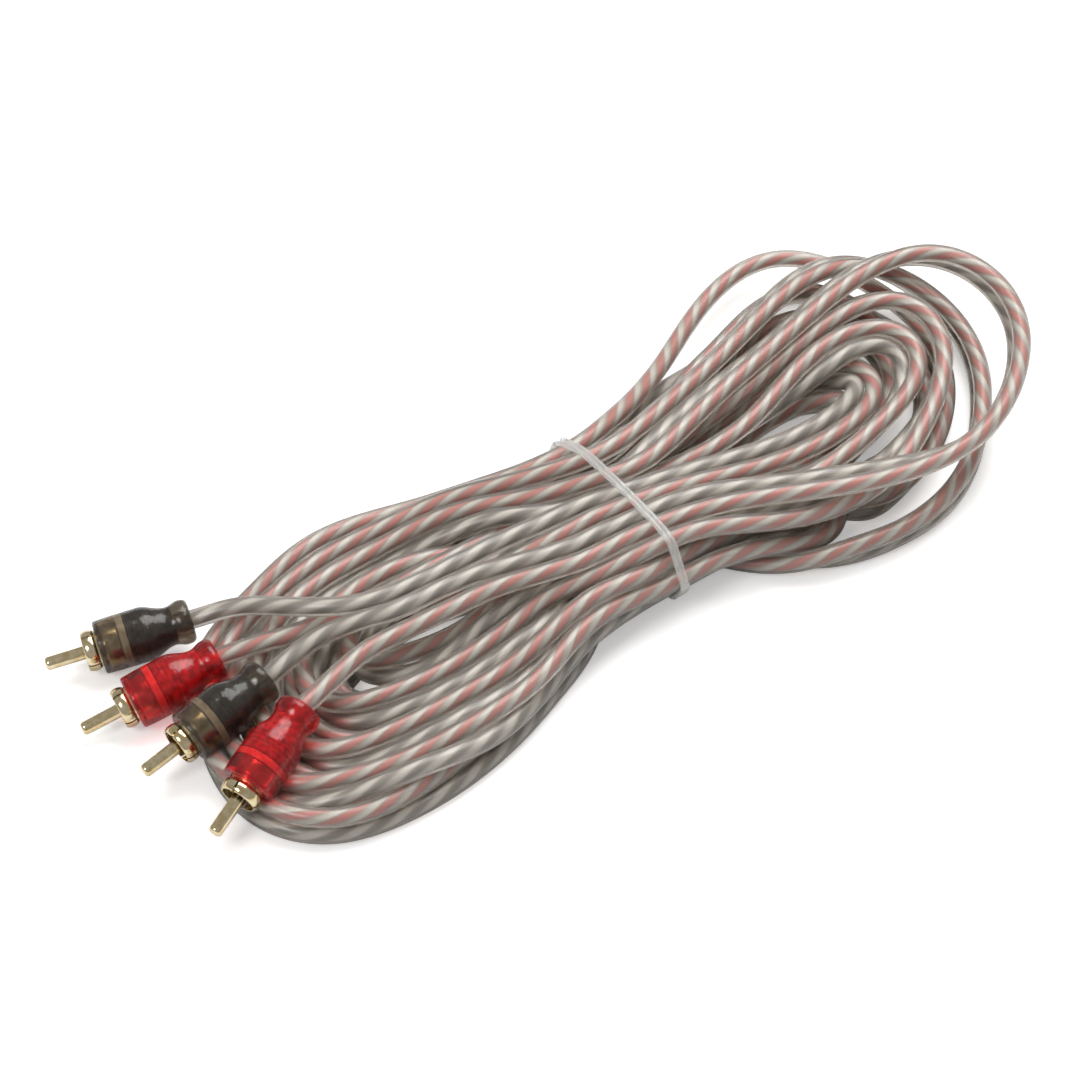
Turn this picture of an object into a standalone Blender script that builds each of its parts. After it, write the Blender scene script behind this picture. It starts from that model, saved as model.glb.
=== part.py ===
"""A stereo interconnect cable: twin lead folded into a hank, held by one clear tie, with a phono plug on
each of its four ends. Metres, +Z up. The hank lies along X on the surface it rests on, and the plugs lie over
its -X end."""

from math import cos, pi, radians, sin

import bmesh
import bpy
from mathutils import Matrix, Vector

MM = 0.001
FIT = 0.3 * MM  # clearance between neighbouring pieces

# Lead and hank
LEAD_RADIUS = 2.3 * MM
LEAD_STEP = 8.0 * MM  # spacing of the points along a tail
LEAD_INSERT = 3.6 * MM  # how deep a lead goes into its boot
HANK_RING_STEP = 6.0 * MM
HANK_RING_POINTS = 22
HANK_SQUARENESS = 2.7  # exponent of the superellipse that a section of the hank follows
HANK_GIRTH_HEIGHT = 0.45  # how high up a section is widest, as a share of its own height
HANK_FLATNESS = 1.2  # how much more than a superellipse the underside spreads on the surface
HANK_SHOULDER_X = -7.0 * MM  # where the tails end against the gathered bundle
HANK_SHOULDER_Z = 22.6 * MM  # top of the bundle behind that shoulder

# Tie
TIE_X = 3.0 * MM
TIE_WIDTH = 2.0 * MM
TIE_THICKNESS = 1.0 * MM
TIE_GROOVE = 0.35 * MM  # depth of the valley between its two ridges
TIE_LIFT_REACH = 14.0 * MM  # how far along X the hank stays lifted over the tie

# Plug, along its own axis: the boot's front face at 0, the pin's tip towards +
PIN_RADIUS = 1.6 * MM
PIN_REACH = 9.3 * MM  # from the shell's rim to the tip
PIN_NOSE = 1.0 * MM  # rounding of the tip
PIN_SHOULDER_RADIUS = 2.3 * MM
PIN_SHOULDER = 0.8 * MM
PIN_CUP_RADIUS = 1.4 * MM
PIN_CUP_BORE = 1.0 * MM
PIN_CUP_LENGTH = 3.4 * MM
PIN_CUP_DEPTH = 2.6 * MM
WIRE_RADIUS = 0.65 * MM

SHELL_REACH = 3.4 * MM  # from the boot's front face to the rim
SHELL_WALL = 0.42 * MM
SHELL_NECK_RADIUS = 4.35 * MM
SHELL_BULGE_RADIUS = 4.85 * MM
SHELL_BODY_RADIUS = 4.75 * MM
SHELL_RING_LENGTH = 2.8 * MM  # of the spring ring, back from the rim
SHELL_NECK_LENGTH = 1.1 * MM  # of the neck inside the boot
SHELL_DEPTH = 5.0 * MM  # from the boot's front face back to the shell's rear
SLOT_WIDTH = 0.7 * MM
SLOT_DEPTH = 3.0 * MM
TAB_WIDTH = 2.4 * MM
TAB_THICKNESS = 0.5 * MM
TAB_LENGTH = 7.0 * MM

INSULATOR_BOSS = 1.8 * MM  # length of the boss inside the shell
INSULATOR_FLANGE_RADIUS = 5.0 * MM
INSULATOR_FLANGE = 1.7 * MM

MOULD_RADIUS = 4.8 * MM
MOULD_WAIST_RADIUS = 3.4 * MM
MOULD_TAPER = 4.3 * MM
MOULD_TAIL = 2.1 * MM

BOOT_LENGTH = 22.3 * MM
BOOT_SWELL = 8.0 * MM  # from the front face to where the barrel is widest
BOOT_BARREL_LENGTH = 10.7 * MM  # from the front face to the start of the taper
BOOT_FLARE_LENGTH = 5.1 * MM  # from the waist to the rear face
BOOT_REAR_LAND = 2.2 * MM  # the flare's widest place, from the rear face
BOOT_FRONT_RADIUS = 6.3 * MM
BOOT_BARREL_RADIUS = 6.45 * MM
BOOT_WAIST_RADIUS = 4.6 * MM
BOOT_REAR_RADIUS = 5.15 * MM
BOOT_EDGE = 0.8 * MM  # rounding of the front edge
BOOT_REAR_EDGE = 1.3 * MM

TURNED_SEGMENTS = 20
PIN_SEGMENTS = 14
WIRE_SEGMENTS = 8

# Each plug: the place of its boot's front face, its heading from +X and how far its tip points down
PLUGS = {
    "a_black": (Vector((-115.5, 30.7, 6.6)) * MM, radians(162.0), radians(6.0)),
    "a_red": (Vector((-117.9, 11.6, 6.6)) * MM, radians(171.0), radians(12.0)),
    "b_black": (Vector((-114.4, -8.0, 10.9)) * MM, radians(183.8), radians(11.0)),
    "b_red": (Vector((-111.7, -27.9, 11.3)) * MM, radians(201.4), radians(15.0)),
}

# The way each tail takes over the hank, in mm, from its boot to the shoulder
TAIL_ROUTES = {
    "a_black": (
        (-84.6, 17.5, 12.8),
        (-76.2, 4.8, 18.4),
        (-69.0, -1.9, 20.1),
        (-61.6, -4.9, 20.4),
        (-49.5, -6.3, 20.5),
        (-39.0, -6.5, 20.5),
        (-27.0, -6.9, 20.6),
        (-17.0, -7.9, 20.8),
    ),
    "a_red": (
        (-88.0, 5.2, 13.0),
        (-80.7, 2.6, 13.7),
        (-72.5, 0.9, 14.3),
        (-66.0, -1.2, 14.4),
        (-60.0, -3.6, 14.4),
        (-52.5, -6.9, 14.5),
        (-45.0, -9.4, 15.0),
        (-37.0, -10.9, 16.0),
        (-27.0, -11.3, 17.9),
        (-17.0, -13.0, 20.0),
    ),
    "b_black": (
        (-79.0, -5.1, 17.6),
        (-68.0, -7.5, 19.4),
        (-60.0, -10.9, 20.9),
        (-49.5, -11.3, 20.9),
        (-39.0, -12.3, 20.8),
        (-27.0, -15.4, 20.7),
        (-17.0, -17.9, 20.9),
    ),
    "b_red": (
        (-73.0, -15.4, 18.2),
        (-61.0, -15.5, 18.6),
        (-47.0, -16.6, 19.3),
        (-37.0, -17.6, 19.8),
        (-27.0, -20.5, 20.4),
        (-17.0, -23.0, 20.8),
    ),
}
TAIL_END_Y = {"a_black": -8.5 * MM, "a_red": -13.5 * MM, "b_black": -18.5 * MM, "b_red": -23.5 * MM}
TAIL_END_Z = 20.9 * MM

# The hank's outline seen from above and its top, in mm: x, near edge, far edge, top
HANK_STATIONS = (
    (-113.0, -34.5, -24.5, 4.5),
    (-109.0, -41.5, -16.5, 5.0),
    (-103.0, -46.5, -6.5, 6.2),
    (-97.0, -49.0, 3.5, 8.2),
    (-90.0, -50.0, 15.5, 9.3),
    (-82.0, -50.5, 23.0, 10.2),
    (-72.0, -51.0, 28.0, 11.2),
    (-61.0, -50.0, 30.0, 11.6),
    (-45.0, -44.5, 28.0, 12.2),
    (-29.0, -38.0, 23.0, 14.8),
    (-15.0, -35.5, 18.0, 17.4),
    (HANK_SHOULDER_X / MM, -35.5, 16.5, 18.1),
    (TIE_X / MM, -36.5, 15.5, 24.0),
    (15.0, -39.5, 19.0, 23.0),
    (28.0, -43.5, 23.5, 20.5),
    (45.0, -48.5, 30.5, 18.5),
    (63.0, -51.5, 42.5, 17.5),
    (81.0, -50.5, 50.0, 17.5),
    (91.0, -47.5, 51.5, 18.0),
    (101.0, -41.5, 48.0, 19.0),
    (111.0, -34.5, 39.5, 20.5),
    (121.0, -24.5, 32.5, 21.5),
    (127.0, -14.5, 26.5, 21.0),
    (130.3, -4.5, 17.5, 19.5),
)

# Each finish: colour, roughness, metallic
FINISHES = {
    "jacket": ((0.62, 0.57, 0.53), 0.35, 0.0),
    "gold": ((0.86, 0.66, 0.30), 0.22, 1.0),
    "black": ((0.045, 0.036, 0.032), 0.35, 0.0),
    "red": ((0.60, 0.02, 0.03), 0.32, 0.0),
    "insulator": ((0.55, 0.52, 0.48), 0.5, 0.0),
    "mould": ((0.03, 0.025, 0.022), 0.6, 0.0),
    "copper": ((0.72, 0.38, 0.22), 0.35, 1.0),
    "tie": ((0.82, 0.82, 0.80), 0.2, 0.0),
}


def clear_scene():
    for thing in list(bpy.data.objects):
        bpy.data.objects.remove(thing)


def material(name):
    """The named finish, made once."""
    if name in bpy.data.materials:
        return bpy.data.materials[name]
    colour, roughness, metallic = FINISHES[name]
    made = bpy.data.materials.new(name)
    made.use_nodes = True
    shader = made.node_tree.nodes["Principled BSDF"]
    shader.inputs["Base Color"].default_value = (*colour, 1.0)
    shader.inputs["Roughness"].default_value = roughness
    shader.inputs["Metallic"].default_value = metallic
    return made


def place(name, mesh, finish, parent=None):
    """Adds the mesh to the scene as a named piece, smooth but for its real edges."""
    mesh.shade_smooth()
    mesh.set_sharp_from_angle(angle=radians(35))
    mesh.materials.clear()
    mesh.materials.append(material(finish))
    piece = bpy.data.objects.new(name, mesh)
    bpy.context.scene.collection.objects.link(piece)
    piece.parent = parent
    return piece


def finished(shape, name):
    """Turns a bmesh into a mesh with its faces pointing out."""
    bmesh.ops.recalc_face_normals(shape, faces=shape.faces)
    mesh = bpy.data.meshes.new(name)
    shape.to_mesh(mesh)
    shape.free()
    return mesh


def turned(name, profile, segments):
    """Spins a profile of (radius, height) points about Z. One that starts and ends on the axis gives a solid,
    and any other is closed into a ring."""
    shape = bmesh.new()
    points = [shape.verts.new((radius, 0.0, height)) for radius, height in profile]
    pairs = list(zip(points, points[1:]))
    if profile[0][0] > 0.0:
        pairs.append((points[-1], points[0]))
    edges = [shape.edges.new(pair) for pair in pairs]
    bmesh.ops.spin(
        shape,
        geom=points + edges,
        cent=(0, 0, 0),
        axis=(0, 0, 1),
        angle=2 * pi,
        steps=segments,
        use_merge=True,
    )
    bmesh.ops.remove_doubles(shape, verts=shape.verts, dist=MM / 1000)
    return finished(shape, name)


def block(name, low, high):
    """A rectangular block between two corners."""
    shape = bmesh.new()
    bmesh.ops.create_cube(shape, size=1.0)
    size = [b - a for a, b in zip(low, high)]
    middle = Vector([(a + b) / 2 for a, b in zip(low, high)])
    stretch = Matrix.Translation(middle) @ Matrix.Diagonal((*size, 1.0))
    bmesh.ops.transform(shape, matrix=stretch, verts=shape.verts)
    return finished(shape, name)


def shaped(mesh, others, operation):
    """The mesh after the others are cut from it or joined to it."""
    body = bpy.data.objects.new(mesh.name + "_body", mesh)
    bpy.context.scene.collection.objects.link(body)
    helpers = [body]
    for other in others:
        tool = bpy.data.objects.new(other.name + "_tool", other)
        bpy.context.scene.collection.objects.link(tool)
        helpers.append(tool)
        boolean = body.modifiers.new(other.name, "BOOLEAN")
        boolean.operation = operation
        boolean.object = tool
    bpy.context.view_layer.update()
    graph = bpy.context.evaluated_depsgraph_get()
    made = bpy.data.meshes.new_from_object(body.evaluated_get(graph))
    for helper in helpers:
        bpy.data.objects.remove(helper)
    made.name = mesh.name
    return made


# Heights along the plug's axis, each from its neighbour and the fit between them
RIM = SHELL_REACH
PIN_TIP = RIM + PIN_REACH
SHELL_REAR = -SHELL_DEPTH
FLANGE_FRONT = SHELL_REAR - FIT
FLANGE_REAR = FLANGE_FRONT - INSULATOR_FLANGE
BOSS_FRONT = FLANGE_FRONT + INSULATOR_BOSS
SHOULDER_FRONT = FLANGE_REAR - FIT
SHOULDER_REAR = SHOULDER_FRONT - PIN_SHOULDER
CUP_REAR = SHOULDER_REAR - PIN_CUP_LENGTH
LEAD_END = -BOOT_LENGTH + LEAD_INSERT
MOULD_FRONT = FLANGE_REAR - FIT
MOULD_REAR = LEAD_END + FIT
MOULD_WAIST = MOULD_REAR + MOULD_TAIL
MOULD_TAPER_FRONT = MOULD_WAIST + MOULD_TAPER
BOOT_WAIST = -BOOT_LENGTH + BOOT_FLARE_LENGTH
SHELL_BORE_RADIUS = SHELL_NECK_RADIUS - SHELL_WALL
TAB_REAR = SHELL_REAR - TAB_LENGTH


def pin_mesh():
    """Centre pin: a round-nosed shank, the shoulder that stops it in the insulator, and a solder cup."""
    nose = [
        (PIN_RADIUS - PIN_NOSE * (1 - sin(angle)), PIN_TIP - PIN_NOSE * (1 - cos(angle)))
        for angle in (radians(step) for step in (0, 30, 60, 90))
    ]
    cup_floor = CUP_REAR + PIN_CUP_DEPTH
    shank = [
        (PIN_RADIUS, SHOULDER_FRONT),
        (PIN_SHOULDER_RADIUS, SHOULDER_FRONT),
        (PIN_SHOULDER_RADIUS, SHOULDER_REAR),
        (PIN_CUP_RADIUS, SHOULDER_REAR),
        (PIN_CUP_RADIUS, CUP_REAR),
        (PIN_CUP_BORE, CUP_REAR),
        (PIN_CUP_BORE, cup_floor),
        (0.0, cup_floor),
    ]
    return turned("pin", [(0.0, PIN_TIP), *nose, *shank], PIN_SEGMENTS)


def shell_mesh():
    """Ground shell: a drawn sleeve with a rolled spring ring, four slots, and a solder tab at its rear."""
    bulge = SHELL_BULGE_RADIUS - SHELL_NECK_RADIUS
    outer = [
        (SHELL_NECK_RADIUS + bulge * sin(angle), RIM - SHELL_RING_LENGTH * angle / pi)
        for angle in (radians(step) for step in (0, 45, 90, 135, 180))
    ]
    inner = [(radius - SHELL_WALL, height) for radius, height in reversed(outer)]
    body = [
        (SHELL_NECK_RADIUS, -SHELL_NECK_LENGTH),
        (SHELL_BODY_RADIUS, -SHELL_NECK_LENGTH - SHELL_WALL),
        (SHELL_BODY_RADIUS, SHELL_REAR),
        (SHELL_BORE_RADIUS, SHELL_REAR),
    ]
    sleeve = turned("shell", outer + body + inner, TURNED_SEGMENTS)
    floor, wide, half = RIM - SLOT_DEPTH, BOOT_FRONT_RADIUS, SLOT_WIDTH / 2
    slots = [
        block("slot_across", (-wide, -half, floor), (wide, half, PIN_TIP)),
        block("slot_along", (-half, -wide, floor), (half, wide, PIN_TIP)),
    ]
    tab = block("tab", *tab_corners(0.0))
    return shaped(shaped(sleeve, slots, "DIFFERENCE"), [tab], "UNION")


def tab_corners(gap):
    """Corners of the solder tab, or of the space that it needs with a gap round it."""
    inside = SHELL_BORE_RADIUS + FIT / 2
    low = (inside - gap, -TAB_WIDTH / 2 - gap, TAB_REAR - gap)
    high = (inside + TAB_THICKNESS + gap, TAB_WIDTH / 2 + gap, SHELL_REAR + SHELL_WALL)
    return low, high


def insulator_mesh():
    """Insulator: a boss in the shell, a flange behind it, a bore for the pin, and a notch for the tab."""
    bore = PIN_RADIUS + FIT
    boss = SHELL_BORE_RADIUS - FIT
    profile = [
        (bore, BOSS_FRONT),
        (boss, BOSS_FRONT),
        (boss, FLANGE_FRONT),
        (INSULATOR_FLANGE_RADIUS, FLANGE_FRONT),
        (INSULATOR_FLANGE_RADIUS, FLANGE_REAR),
        (bore, FLANGE_REAR),
    ]
    low, high = tab_corners(FIT)
    notch = block("notch", low, (2 * BOOT_FRONT_RADIUS, high[1], FLANGE_FRONT + FIT / 2))
    return shaped(turned("insulator", profile, TURNED_SEGMENTS), [notch], "DIFFERENCE")


def mould_outline(gap):
    """Outer line of the inner mould, front to rear, or of the space round it."""
    return [
        (MOULD_RADIUS + gap, MOULD_FRONT),
        (MOULD_RADIUS + gap, MOULD_TAPER_FRONT),
        (MOULD_WAIST_RADIUS + gap, MOULD_WAIST),
        (MOULD_WAIST_RADIUS + gap, MOULD_REAR),
    ]


def mould_mesh():
    """Inner mould: the block shot over the soldered joints, grooved for the tab and the shield's wire."""
    pocket = PIN_SHOULDER_RADIUS + FIT
    cup_bore = PIN_CUP_RADIUS + FIT
    wire_bore = WIRE_RADIUS + FIT
    inside = [
        (wire_bore, MOULD_REAR),
        (wire_bore, CUP_REAR - FIT),
        (cup_bore, CUP_REAR - FIT),
        (cup_bore, SHOULDER_REAR - FIT),
        (pocket, SHOULDER_REAR - FIT),
        (pocket, MOULD_FRONT),
    ]
    low, high = tab_corners(FIT)
    wide = 2 * BOOT_FRONT_RADIUS
    under_tab = low[0] - 2 * WIRE_RADIUS - FIT
    tab_groove = block("tab_groove", (under_tab, low[1], low[2]), (wide, high[1], high[2]))
    wire_low = (wire_bore + FIT, -wire_bore, MOULD_REAR - FIT)
    wire_groove = block("wire_groove", wire_low, (wide, wire_bore, TAB_REAR))
    body = turned("mould", mould_outline(0.0) + inside, TURNED_SEGMENTS)
    return shaped(body, [tab_groove, wire_groove], "DIFFERENCE")


def eased(start, stop, steps):
    """Points from one (radius, height) to the next along half a cosine wave, level at both ends."""
    points = []
    for index in range(1, steps + 1):
        share = index / steps
        level = (1 - cos(pi * share)) / 2
        points.append((start[0] + (stop[0] - start[0]) * level, start[1] + (stop[1] - start[1]) * share))
    return points


def boot_mesh():
    """Boot: the soft outer moulding, barrel in front, pinched to a waist and flared again behind it."""
    edge = [
        (BOOT_FRONT_RADIUS - BOOT_EDGE * (1 - sin(angle)), -BOOT_EDGE * (1 - cos(angle)))
        for angle in (radians(step) for step in (0, 45, 90))
    ]
    barrel_end = (BOOT_BARREL_RADIUS, -BOOT_BARREL_LENGTH)
    waist = (BOOT_WAIST_RADIUS, BOOT_WAIST)
    flare = (BOOT_REAR_RADIUS, -BOOT_LENGTH + BOOT_REAR_LAND)
    flank = [(BOOT_BARREL_RADIUS, -BOOT_SWELL), barrel_end]
    flank += eased(barrel_end, waist, 4) + eased(waist, flare, 2)
    rear_edge = []
    for angle in (radians(step) for step in (0, 45, 90)):
        radius = BOOT_REAR_RADIUS - BOOT_REAR_EDGE * (1 - cos(angle))
        rear_edge.append((radius, -BOOT_LENGTH + BOOT_REAR_EDGE * (1 - sin(angle))))
    cavity = [
        (LEAD_RADIUS + FIT, -BOOT_LENGTH),
        (LEAD_RADIUS + FIT, MOULD_REAR - FIT),
        (MOULD_WAIST_RADIUS + FIT, MOULD_REAR - FIT),
        (MOULD_WAIST_RADIUS + FIT, MOULD_WAIST),
        (MOULD_RADIUS + FIT, MOULD_TAPER_FRONT - FIT),
        (MOULD_RADIUS + FIT, FLANGE_REAR - FIT),
        (INSULATOR_FLANGE_RADIUS + FIT, FLANGE_REAR - FIT),
        (INSULATOR_FLANGE_RADIUS + FIT, SHELL_REAR),
        (SHELL_BODY_RADIUS + FIT, SHELL_REAR),
        (SHELL_BODY_RADIUS + FIT, -SHELL_NECK_LENGTH + FIT),
        (SHELL_NECK_RADIUS + FIT, -SHELL_NECK_LENGTH + FIT),
        (SHELL_NECK_RADIUS + FIT, 0.0),
    ]
    return turned("boot", edge + flank + rear_edge + cavity, TURNED_SEGMENTS)


def signal_wire_mesh():
    """Inner conductor, from the lead's end into the pin's cup."""
    front = CUP_REAR + PIN_CUP_DEPTH - FIT
    rear = LEAD_END + FIT
    profile = [(0.0, front), (WIRE_RADIUS, front), (WIRE_RADIUS, rear), (0.0, rear)]
    return turned("signal_wire", profile, WIRE_SEGMENTS)


def tube(name, points, radius, finish, resolution, parent=None):
    """A round cord through the points, with flat closed ends."""
    curve = bpy.data.curves.new(name, "CURVE")
    curve.dimensions = "3D"
    curve.bevel_depth = radius
    curve.bevel_resolution = resolution
    curve.use_fill_caps = True
    spline = curve.splines.new("POLY")
    spline.points.add(len(points) - 1)
    for slot, point in zip(spline.points, points):
        slot.co = (*point, 1.0)
    curve.materials.append(material(finish))
    piece = bpy.data.objects.new(name, curve)
    bpy.context.scene.collection.objects.link(piece)
    piece.parent = parent
    return piece


def shield_wire_points():
    """The shield's twisted strands: beside the inner conductor at the lead's end, under the tab in front."""
    tab_inside = tab_corners(0.0)[0][0]
    near = 2 * WIRE_RADIUS + 2 * FIT
    under_tab = tab_inside - WIRE_RADIUS - FIT / 2
    return [
        (near, 0.0, LEAD_END + FIT),
        (near, 0.0, MOULD_REAR + FIT),
        (under_tab, 0.0, TAB_REAR),
        (under_tab, 0.0, TAB_REAR + TAB_LENGTH / 3),
    ]


def smooth_way(route, step):
    """Points about a step apart along a smooth curve through the route."""
    ends = [2 * route[0] - route[1], *route, 2 * route[-1] - route[-2]]
    fine = []
    for before, start, stop, after in zip(ends, ends[1:], ends[2:], ends[3:]):
        for share in (0.0, 0.25, 0.5, 0.75):
            fine.append(
                start
                + 0.5 * share * (stop - before)
                + 0.5 * share**2 * (2 * before - 5 * start + 4 * stop - after)
                + 0.5 * share**3 * (3 * start - before - 3 * stop + after)
            )
    fine.append(route[-1])
    lengths = [0.0]
    for here, there in zip(fine, fine[1:]):
        lengths.append(lengths[-1] + (there - here).length)
    count = max(2, round(lengths[-1] / step))
    chosen, at = [], 0
    for index in range(count + 1):
        wanted = lengths[-1] * index / count
        while at < len(fine) - 2 and lengths[at + 1] < wanted:
            at += 1
        share = (wanted - lengths[at]) / (lengths[at + 1] - lengths[at])
        chosen.append(fine[at].lerp(fine[at + 1], share))
    return chosen


def build_plug(end, meshes):
    """One plug with all that it holds, on an empty that sets its place, and the lead's tail behind it."""
    front, heading, drop = PLUGS[end]
    seat = bpy.data.objects.new("seat_" + end, None)
    bpy.context.scene.collection.objects.link(seat)
    seat.location = front
    seat.rotation_euler = (0.0, pi / 2 + drop, heading)
    colour = end.split("_")[1]
    mould_finish = "mould" if colour == "black" else "red"
    place("pin_" + end, meshes["pin"].copy(), "gold", seat)
    place("shell_" + end, meshes["shell"].copy(), "gold", seat)
    place("insulator_" + end, meshes["insulator"].copy(), "insulator", seat)
    place("inner_mould_" + end, meshes["mould"].copy(), mould_finish, seat)
    place("signal_wire_" + end, meshes["signal_wire"].copy(), "copper", seat)
    place("boot_" + end, meshes["boot"].copy(), colour, seat)
    tube("shield_wire_" + end, shield_wire_points(), WIRE_RADIUS, "copper", 1, seat)
    bpy.context.view_layer.update()
    build_tail(end, seat.matrix_world)


def build_tail(end, seat):
    """The single lead from inside its boot, over the hank, to the shoulder of the gathered bundle."""
    inside = seat @ Vector((0.0, 0.0, LEAD_END))
    mouth = seat @ Vector((0.0, 0.0, -BOOT_LENGTH))
    route = [inside, mouth]
    route += [Vector(point) * MM for point in TAIL_ROUTES[end]]
    route.append(Vector((HANK_SHOULDER_X - FIT, TAIL_END_Y[end], TAIL_END_Z)))
    points = [inside, *smooth_way(route[1:], LEAD_STEP)]
    tube("lead_tail_" + end, points, LEAD_RADIUS, "jacket", 2)


def hank_lift(x):
    """How far the hank's underside stands off the surface: it bridges the tie that passes below it."""
    away = abs(x - TIE_X) / TIE_LIFT_REACH
    return (TIE_THICKNESS + 2 * FIT) * max(0.0, 1.0 - away**2)


def hank_section(x, near, far, top):
    """Closed outline, in Y and Z, of a section of the hank: a superellipse with a flat underside."""
    bottom = hank_lift(x)
    middle, half = (near + far) / 2, (far - near) / 2
    girth = bottom + HANK_GIRTH_HEIGHT * (top - bottom)
    outline = []
    for index in range(HANK_RING_POINTS):
        angle = 2 * pi * index / HANK_RING_POINTS
        across = abs(cos(angle)) ** (2 / HANK_SQUARENESS)
        upward = abs(sin(angle)) ** (2 / HANK_SQUARENESS)
        y = middle + half * (across if cos(angle) > 0 else -across)
        z = girth + (top - girth) * upward
        if sin(angle) < 0:
            z = girth - (girth - bottom) * min(1.0, HANK_FLATNESS * upward)
        outline.append((y, z))
    return outline


def hank_stations():
    """The hank's stations in metres, with rings added between them along smooth lines."""
    rings = []
    given = [Vector(station) * MM for station in ([*row] for row in HANK_STATIONS)]
    shoulder = next(i for i, row in enumerate(given) if abs(row[0] - HANK_SHOULDER_X) < FIT)
    for run in (given[: shoulder + 1], given[shoulder:]):
        rings.append(smooth_way(run, HANK_RING_STEP))
    raised = rings[1][0].copy()
    raised[3] = HANK_SHOULDER_Z
    rings[1][0] = raised
    return rings


def build_hank():
    """The folded bundle as one body: a loft through its sections, with a shoulder that the tails butt on."""
    shape = bmesh.new()
    loops = []
    for run in hank_stations():
        for x, near, far, top in run:
            loops.append([shape.verts.new((x, y, z)) for y, z in hank_section(x, near, far, top)])
    for before, after in zip(loops, loops[1:]):
        for index in range(HANK_RING_POINTS):
            following = (index + 1) % HANK_RING_POINTS
            corners = (before[index], before[following], after[following], after[index])
            shape.faces.new(corners)
    for loop in (loops[0], loops[-1]):
        shape.faces.new(loop)
    place("cable_hank", finished(shape, "cable_hank"), "jacket")


def tie_strip_section():
    """The strip's section: width along X, thickness outwards, two ridges on its outer side."""
    half, crest = TIE_WIDTH / 2, TIE_THICKNESS
    return (
        (-half, 0.0),
        (-half, crest - TIE_GROOVE),
        (-half / 2, crest),
        (0.0, crest - TIE_GROOVE),
        (half / 2, crest),
        (half, crest - TIE_GROOVE),
        (half, 0.0),
    )


def build_tie():
    """The clear strip round the waist: its section swept along the hank's outline there, a fit away."""
    row = next(station for station in HANK_STATIONS if abs(station[0] * MM - TIE_X) < FIT)
    outline = hank_section(TIE_X, *(value * MM for value in row[1:]))
    shape = bmesh.new()
    loops = []
    count = len(outline)
    for index, (y, z) in enumerate(outline):
        (y0, z0), (y1, z1) = outline[index - 1], outline[(index + 1) % count]
        along = Vector((0.0, y1 - y0, z1 - z0)).normalized()
        outward = Vector((0.0, along.z, -along.y))
        base = Vector((TIE_X, y, z)) + outward * FIT
        loop = []
        for across, out in tie_strip_section():
            loop.append(shape.verts.new(base + Vector((across, 0.0, 0.0)) + outward * out))
        loops.append(loop)
    for index, before in enumerate(loops):
        after = loops[(index + 1) % count]
        for corner in range(len(before)):
            following = (corner + 1) % len(before)
            shape.faces.new((before[corner], before[following], after[following], after[corner]))
    place("tie_strip", finished(shape, "tie_strip"), "tie")


clear_scene()
plug_meshes = {
    "pin": pin_mesh(),
    "shell": shell_mesh(),
    "insulator": insulator_mesh(),
    "mould": mould_mesh(),
    "signal_wire": signal_wire_mesh(),
    "boot": boot_mesh(),
}
for plug_end in PLUGS:
    build_plug(plug_end, plug_meshes)
build_hank()
build_tie()
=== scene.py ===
from math import cos, pi, radians, sin

import bmesh
import bpy
import numpy as np
from mathutils import Euler, Matrix, Vector


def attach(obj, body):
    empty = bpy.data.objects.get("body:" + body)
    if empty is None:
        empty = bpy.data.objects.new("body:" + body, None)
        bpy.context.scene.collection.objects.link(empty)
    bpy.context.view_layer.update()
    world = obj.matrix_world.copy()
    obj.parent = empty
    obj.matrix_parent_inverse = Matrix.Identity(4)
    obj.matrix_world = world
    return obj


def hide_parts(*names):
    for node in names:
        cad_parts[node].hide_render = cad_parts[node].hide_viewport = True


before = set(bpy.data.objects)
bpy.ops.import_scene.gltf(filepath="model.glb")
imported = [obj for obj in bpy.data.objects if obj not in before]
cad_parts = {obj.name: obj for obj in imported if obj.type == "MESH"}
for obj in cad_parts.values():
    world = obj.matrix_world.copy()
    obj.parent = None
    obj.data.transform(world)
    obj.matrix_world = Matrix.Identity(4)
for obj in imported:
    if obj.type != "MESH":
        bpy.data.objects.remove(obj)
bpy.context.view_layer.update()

# The centre pins
# A pin turned from brass bar, nickel plated and gold flashed: a round-nosed shank, a shoulder that stops
# it in the insulator, and a cup behind for the solder. It is pushed into the insulator from the rear.
mm = 0.001
pin_tip = 12.7  # in front of the boot's front face, as all places along a plug
pin_radius = 1.6
pin_nose = 1.0
shoulder_radius = 2.3
shoulder_front = -7.3
shoulder_rear = -8.1
cup_radius = 1.4
cup_bore = 1.0
cup_rear = -11.5
cup_floor = -8.9

# Where each plug lies: the middle of its boot's front face in mm, its heading, and how far its tip points
# down, both in degrees
plug_seats = {
    "a_black": ((-115.5, 30.7, 6.6), 162.0, 6.0),
    "a_red": ((-117.9, 11.6, 6.6), 171.0, 12.0),
    "b_black": ((-114.4, -8.0, 10.9), 183.8, 11.0),
    "b_red": ((-111.7, -27.9, 11.3), 201.4, 15.0),
}
pieces_on = {end: [] for end in plug_seats}


def linear(code):
    """The shader's colour for an sRGB hex code."""
    levels = [int(code[at:at + 2], 16) / 255 for at in (0, 2, 4)]
    return (*[v / 12.92 if v <= 0.04045 else ((v + 0.055) / 1.055) ** 2.4 for v in levels], 1.0)


def add_node(tree, kind, settings, links):
    """Adds a node with its settings, by name or by socket, and links what feeds it."""
    node = tree.nodes.new(kind)
    for key, value in settings.items():
        if isinstance(key, str) and hasattr(node, key):
            setattr(node, key, value)
        else:
            node.inputs[key].default_value = value
    for key, source in links.items():
        tree.links.new(source, node.inputs[key])
    return node


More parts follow.
